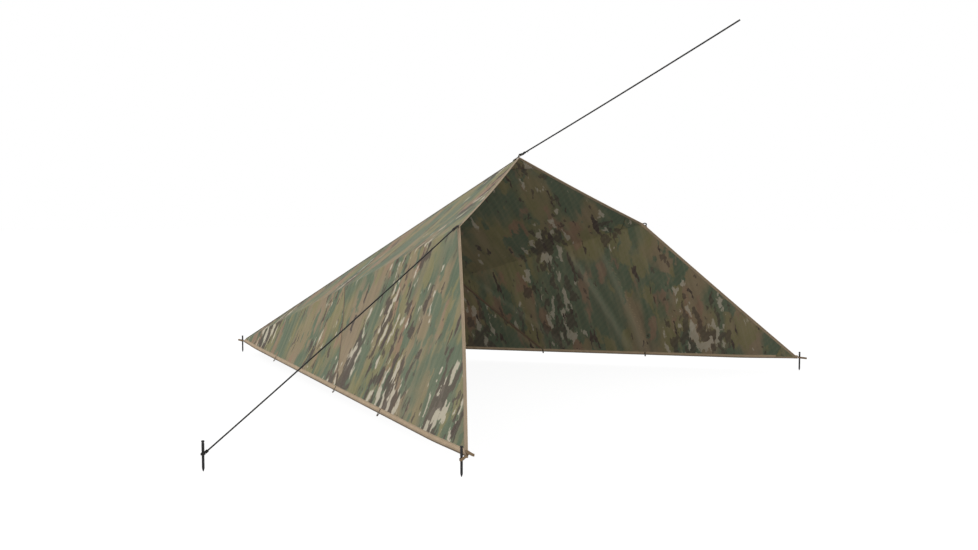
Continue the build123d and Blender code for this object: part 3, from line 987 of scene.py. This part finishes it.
def strap_eye(name, foot, leg, pull, up, lift, length):
    """A doubled strap: a sewn leg from foot along leg, bent at the corner into an eye along pull."""
    low = foot + up * lift
    eye_at = foot + pull * (EYE_HALF[0] + 2.5 * MM) + up * (lift + EYE_HALF[1])
    under = [low + leg * length * k for k in (1, 0.8, 0.6, 0.4, 0.2, 0.05)]
    over = [low + up * WEB * 1.1 + leg * length * k for k in (0.12, 0.3, 0.5, 0.7, 0.9)]
    ring = list(arc(eye_at, pull * EYE_HALF[0], up * EYE_HALF[1], -110, 150, 22))
    path = resample(np.array(under + ring + over), 70)
    side = unit(np.cross(leg, up))
    bend = unit(np.cross(-pull, up))
    near = np.clip(((path - foot) @ pull) / (6 * MM), 0, 1)[:, None]
    return band(name, path, side * (1 - near) + bend * near, EYE_WIDTH)


def shoulder_strap(half):
    pull = unit(MOUNTS["left_guy_anchor"] * half.mirror - half.shoulder)
    leg = unit(half.apex - half.shoulder)
    into_roof = inward_from(half.flat_apex, half.flat_shoulder, REAR) * 9 * MM
    foot = half.place(half.flat_shoulder + into_roof, np.array(0.0))
    name = f"shoulder_{half.side}_loop"
    piece = strap_eye(f"{name}_sewn", foot, leg, pull, half.roof_out, 2.0 * MM, 46 * MM)
    fit(piece, STRAP, "webbing", "roof", name)


def apex_strap():
    pull = unit(MOUNTS["tree_line_end"] - LEFT.apex)
    piece = strap_eye("apex_loop_sewn", LEFT.apex, unit(-LEFT.apex), pull, LEFT.ridge_out, 4.6 * MM, 52 * MM)
    fit(piece, STRAP, "webbing", "roof", "apex_loop")


def hem_strap(half, number, share):
    """One peg-out loop, sewn on both faces and hanging below the ground hem."""
    along, outer = unit(half.front), half.flap_out
    down = -half.upward(np.cross(along, outer))
    q = half.flat_front * share
    steps = np.array([22, 17, 12, 7, 2]) * MM
    outside = [half.place(q + half.ground_inward * w, np.array(OVER_CLOTH)) for w in steps]
    inside = [half.place(q + half.ground_inward * w, np.array(-SHEET - 2.6 * MM)) for w in steps[::-1]]
    edge = half.place(q, np.array(-0.4 * MM))
    lean = unit(down + np.array([half.sign * 0.25, 0.10, 0]))
    ring = [edge + lean * 5 * MM + outer * 3.4 * MM, edge + lean * 11 * MM + outer * 2.6 * MM]
    ring += list(arc(edge + lean * LOOP_HANG, outer * 2.2 * MM, lean * 2.6 * MM, 0, 180, 9))
    ring += [edge + lean * 11 * MM - outer * 2.6 * MM, edge + lean * 5 * MM - outer * 3.2 * MM]
    path = resample(np.array(outside + ring + inside), 60)
    return band(f"{half.side}_hem_strap_{number}", path, along, LOOP_BREADTH)


def hem_straps(half):
    straps = [hem_strap(half, number, share) for number, share in enumerate(HEM_LOOPS)]
    piece = join(f"{half.side}_hem_straps", straps)
    fit(piece, STRAP, "webbing", half.flap, f"{half.side}_hem_loops")


def upright_ring(name, start, end, radius, drop_start, drop_end):
    """Upright webbing drawn round two points of the ground plan, its ends at their own heights."""
    span = np.linalg.norm(end - start)
    run = unit(end - start)
    side = np.array([-run[1], run[0], 0])
    path = list(arc(start, -run * radius, side * radius, 90, -90))
    path += list(arc(end, run * radius * 0.7, side * radius * 0.7, -90, 90))
    path = resample(np.array(path), 90, closed=True)
    share = np.clip(((path - start) @ run) / span, 0, 1)
    path[:, 2] = drop_start + (drop_end - drop_start) * smooth(share)
    lean = UP + run * (drop_start - drop_end) * 6
    return band(name, path, lean, CORNER_STRAP, closed=True)


def left_corner_loops(half, peg_at):
    """The ring drawn down round the left peg, the pull tab, and where the sewn leg ends."""
    ring_end = half.front + np.array([1, 6, 0]) * MM
    ring = upright_ring("ring", peg_at, ring_end, PEG_RING, -14 * MM, 1 * MM)
    tab_from = half.front + np.array([3, 9, 0]) * MM
    tab_to = half.front + np.array([-3, -36, 0]) * MM
    tab = upright_ring("tab", tab_from, tab_to, 3.4 * MM, 20 * MM, 13 * MM)
    return [ring, tab], tab_from + UP * 18 * MM, UNDER_CLOTH


def right_corner_loops(half, peg_at):
    """The long ring round the right peg, and where the sewn leg ends."""
    ring_end = peg_at + np.array([-10, -49, 0]) * MM
    ring = upright_ring("ring", peg_at, ring_end, PEG_RING, 3 * MM, 3.5 * MM)
    return [ring], peg_at + np.array([-10, -6, 3]) * MM, OVER_CLOTH


def corner_straps(half):
    """The peg ring of a front corner and the leg sewn along the ground hem."""
    side = half.side
    loops = left_corner_loops if side == "left" else right_corner_loops
    rings, leg_end, lift = loops(half, MOUNTS[f"front_{side}_peg_shank"])
    back = unit(half.flat_front)
    points = [half.flat_front - back * d * MM + half.ground_inward * 10 * MM for d in (60, 45, 30, 15, 4)]
    leg = [half.place(q, np.array(lift)) for q in points] + [leg_end]
    across = unit(np.cross(unit(half.front), half.flap_out))
    leg_band = band("leg", resample(np.array(leg), 30), across, CORNER_STRAP)
    piece = join(f"front_{side}_corner_strap", rings + [leg_band])
    fit(piece, TAN_STRAP, "webbing", half.flap, f"front_{side}_corner_loop")


def rear_strap():
    """The ring round the rear peg and the leg sewn along the ridge."""
    tail = np.array([0, 46 * MM, 0])
    ring = upright_ring("rear_corner_ring", np.zeros(3), tail, PEG_RING, 3 * MM, 6 * MM)
    leg = [np.array([0, -8, 4]) * MM, np.array([0, -22, 8]) * MM]
    leg += [unit(LEFT.apex) * d * MM - UP * 5 * MM for d in (50, 80, 115, 150)]
    leg_band = band("rear_corner_leg", resample(np.array(leg), 30), (1, 0, 0), CORNER_STRAP * 0.8)
    fit(join("rear_corner_strap", [ring, leg_band]), TAN_STRAP, "webbing", "roof", "rear_corner_loop")


# ---- cords and knots

def tied_loop(pivot, pull, up, toward):
    """A cord bight through an eye, the wraps round its own standing part, and where the line starts."""
    bight = arc(pivot + pull * BIGHT, -pull * BIGHT, np.cross(up, pull) * BIGHT, -150, 150, 40)
    start = pivot + toward * (2 * BIGHT - 1 * MM)
    side = unit(np.cross(toward, up))
    wraps = coil(start, toward, side, 4.5, WRAP, TIE_CORD * 2)
    last = wraps[-1]
    tail = [last, last + toward * 6 * MM - side * 3 * MM,
            last + toward * 13 * MM - side * 6 * MM - up * 5 * MM]
    wraps = np.vstack([wraps, resample(np.array(tail), 6)[1:]])
    return start, [tube("bight", bight), tube("wraps", wraps, TIE_CORD)]


def peg_tie(side, hitch, toward):
    """Turns of thin cord round the guy peg, and the knot on the line next to it."""
    first = unit(toward * [1, 1, 0])
    ring = coil(hitch - UP * 2.2 * MM, UP, -first, 2.1, HITCH_RING, 4.2 * MM, 30)
    tail = sagging(ring[-1], ring[-1] + first * 12 * MM + UP * 1 * MM, 2 * MM, 10)
    back = hitch - toward * (HITCH_RING + 3 * MM)
    knob = coil(back, -toward, unit(np.cross(toward, UP)), 4, WRAP, TIE_CORD * 2)
    pieces = [tube("ring", np.vstack([ring, tail[1:]]), TIE_CORD), tube("knob", knob, TIE_CORD)]
    fit(join(f"{side}_peg_tie", pieces), ROPE, "cord", f"{side}_guy", f"{side}_peg_hitch")


def guy(half):
    """A side guy line from its shoulder to its peg, tied at both ends."""
    side = half.side
    body = f"{side}_guy"
    pivot = np.array(JOINTS["left_guy_swing"]["pos_m"]) * half.mirror
    stake = MOUNTS["left_guy_anchor"] * half.mirror
    hitch = stake + UP * HITCH_HEIGHT
    toward = unit(hitch - pivot)
    start, tie = tied_loop(pivot, unit(stake - half.shoulder), half.roof_out, toward)
    line = tube(f"{side}_guy_line_braid", sagging(start, hitch - toward * HITCH_RING * 1.2, 6 * MM))
    fit(line, ROPE, "cord", body, f"{side}_guy_line")
    fit(join(f"{side}_guy_tie", tie), ROPE, "cord", body, f"{side}_guy_knot")
    peg_tie(side, hitch, toward)


def tree():
    """The ridge cord from the apex towards the tree, tied to the apex loop."""
    pivot = np.array(JOINTS["tree_line_swing"]["pos_m"])
    end = MOUNTS["tree_line_end"]
    start, tie = tied_loop(pivot, unit(end - LEFT.apex), LEFT.ridge_out, unit(end - pivot))
    line = tube("tree_line_braid", sagging(start, end, 4 * MM), TREE_CORD)
    fit(line, ROPE, "cord", "tree_cord", "tree_line")
    fit(join("apex_tie", tie), ROPE, "cord", "tree_cord", "apex_knot")


# ---- pegs

def lathe(name, profile, sides=40):
    """A turned piece about the Z axis from (radius, height) points."""
    turns = [2 * math.pi * k / sides for k in range(sides)]
    points = [(r * math.cos(a), r * math.sin(a), height) for r, height in profile for a in turns]
    return make_object(name, points, swept_faces(len(profile), sides))


def peg_profile(shoulder):
    """From the rounded point up to the flat cap, in metres."""
    point = [(0.4, -87.5), (1.2, -86.9), (2.4, -84.5), (4.2, -79.0), (5.2, -75.0), (5.5, -72.0)]
    shank = [(5.5, -72.0 + 9.0 * k) for k in range(1, 8)] + [(5.5, -0.6)]
    sleeve = [(5.95, 0.0), (6.0, 0.5), (6.0, 10.0), (6.0, 20.0), (6.0, 31.4), (5.6, 32.2)]
    neck = [(4.9, 32.7), (4.8, 33.4), (4.8, 34.9), (5.0, 35.4), (6.2, 35.6), (6.6, 36.2)]
    cap = [(6.6, 41.0), (6.3, 42.0), (5.6, 42.5), (2.5, 42.6), (0.3, 42.6)]
    return [(r * MM, (shoulder + h) * MM) for r, h in point + shank + sleeve + neck + cap]


def peg(node, shoulder):
    piece = lathe(f"{node}_turned", peg_profile(shoulder))
    centre = node_points(node).mean(0) * [1, 1, 0]
    piece.data.transform(Matrix.Translation(Vector(centre)))
    fit(piece, STEEL, "black_peg", node, node)


# ---- stage, light and camera

def by_ray(tree, seen, lighting):
    """A shader that shows one thing to the camera and lights the scene with another."""
    path = tree.nodes.new("ShaderNodeLightPath")
    mixer = tree.nodes.new("ShaderNodeMixShader")
    tree.links.new(path.outputs["Is Camera Ray"], mixer.inputs[0])
    tree.links.new(lighting, mixer.inputs[1])
    tree.links.new(seen, mixer.inputs[2])
    return mixer.outputs[0]


def pale_floor():
    n = Nodes("pale_floor")
    n.finish((FLOOR_BOUNCE, FLOOR_BOUNCE, FLOOR_BOUNCE * 0.98, 1), 0.95)
    soft = n.new("ShaderNodeBsdfDiffuse")
    soft.inputs["Color"].default_value = (1, 1, 1, 1)
    white = n.new("ShaderNodeEmission")
    white.inputs["Strength"].default_value = FLOOR_GLOW
    seen = n.new("ShaderNodeMixShader")
    seen.inputs[0].default_value = FLOOR_WHITE
    n.tree.links.new(soft.outputs[0], seen.inputs[1])
    n.tree.links.new(white.outputs[0], seen.inputs[2])
    output = n.tree.nodes["Material Output"]
    shader = by_ray(n.tree, seen.outputs[0], n.shader.outputs[0])
    n.tree.links.new(shader, output.inputs["Surface"])
    return n.material


def floor():
    mesh = bpy.data.meshes.new("floor")
    signs = ((-1, -1), (1, -1), (1, 1), (-1, 1))
    mesh.from_pydata([(x * FLOOR_EDGE, y * FLOOR_EDGE, 0) for x, y in signs], [], [(0, 1, 2, 3)])
    mesh.materials.append(pale_floor())
    ground = bpy.data.objects.new("floor", mesh)
    ground.location = (0, 0, CAD_BOX[0][2] - 2 * MM)
    bpy.context.scene.collection.objects.link(ground)


def studio_world():
    world = bpy.data.worlds.new("soft_studio")
    bpy.context.scene.world = world
    world.use_nodes = True
    tree = world.node_tree
    dome = tree.nodes["Background"]
    dome.inputs["Strength"].default_value = DOME
    dome.inputs["Color"].default_value = (1, 1, 1, 1)
    white = tree.nodes.new("ShaderNodeBackground")
    white.inputs["Color"].default_value = (1, 1, 1, 1)
    shader = by_ray(tree, white.outputs[0], dome.outputs[0])
    tree.links.new(shader, tree.nodes["World Output"].inputs["Surface"])


def area_light(name, place, target, width, power):
    data = bpy.data.lights.new(name, "AREA")
    data.shape = "DISK"
    data.size = width
    data.energy = power
    lamp = bpy.data.objects.new(name, data)
    lamp.location = place
    lamp.rotation_euler = (Vector(target) - Vector(place)).to_track_quat("-Z", "Y").to_euler()
    bpy.context.scene.collection.objects.link(lamp)


def camera():
    data = bpy.data.cameras.new("camera")
    data.lens = CAMERA_LENS
    data.sensor_width = SENSOR
    data.clip_end = 200
    cam = bpy.data.objects.new("camera", data)
    cam.location = CAMERA_PLACE
    cam.rotation_euler = (math.radians(90 + CAMERA_PITCH), 0, math.radians(CAMERA_AZIMUTH))
    bpy.context.scene.collection.objects.link(cam)
    bpy.context.scene.camera = cam


# ---- the whole shelter

for each in HALVES.values():
    cloth(each)
    ground_binding(each)
    front_binding(each)
    seam(each)
    patches(each)
ridge()
for each in HALVES.values():
    shoulder_strap(each)
    hem_straps(each)
    corner_straps(each)
apex_strap()
rear_strap()
for each in HALVES.values():
    guy(each)
tree()
for peg_node, peg_shoulder in PEGS.items():
    peg(peg_node, peg_shoulder)

floor()
studio_world()
area_light("key", (-7, 3, 7), (0, -2, 0.5), 6, KEY)
area_light("fill", (-3, -9, 4), (0.9, -2.3, 0.3), 3, FILL)
camera()
bpy.context.scene.view_settings.view_transform = "Standard"
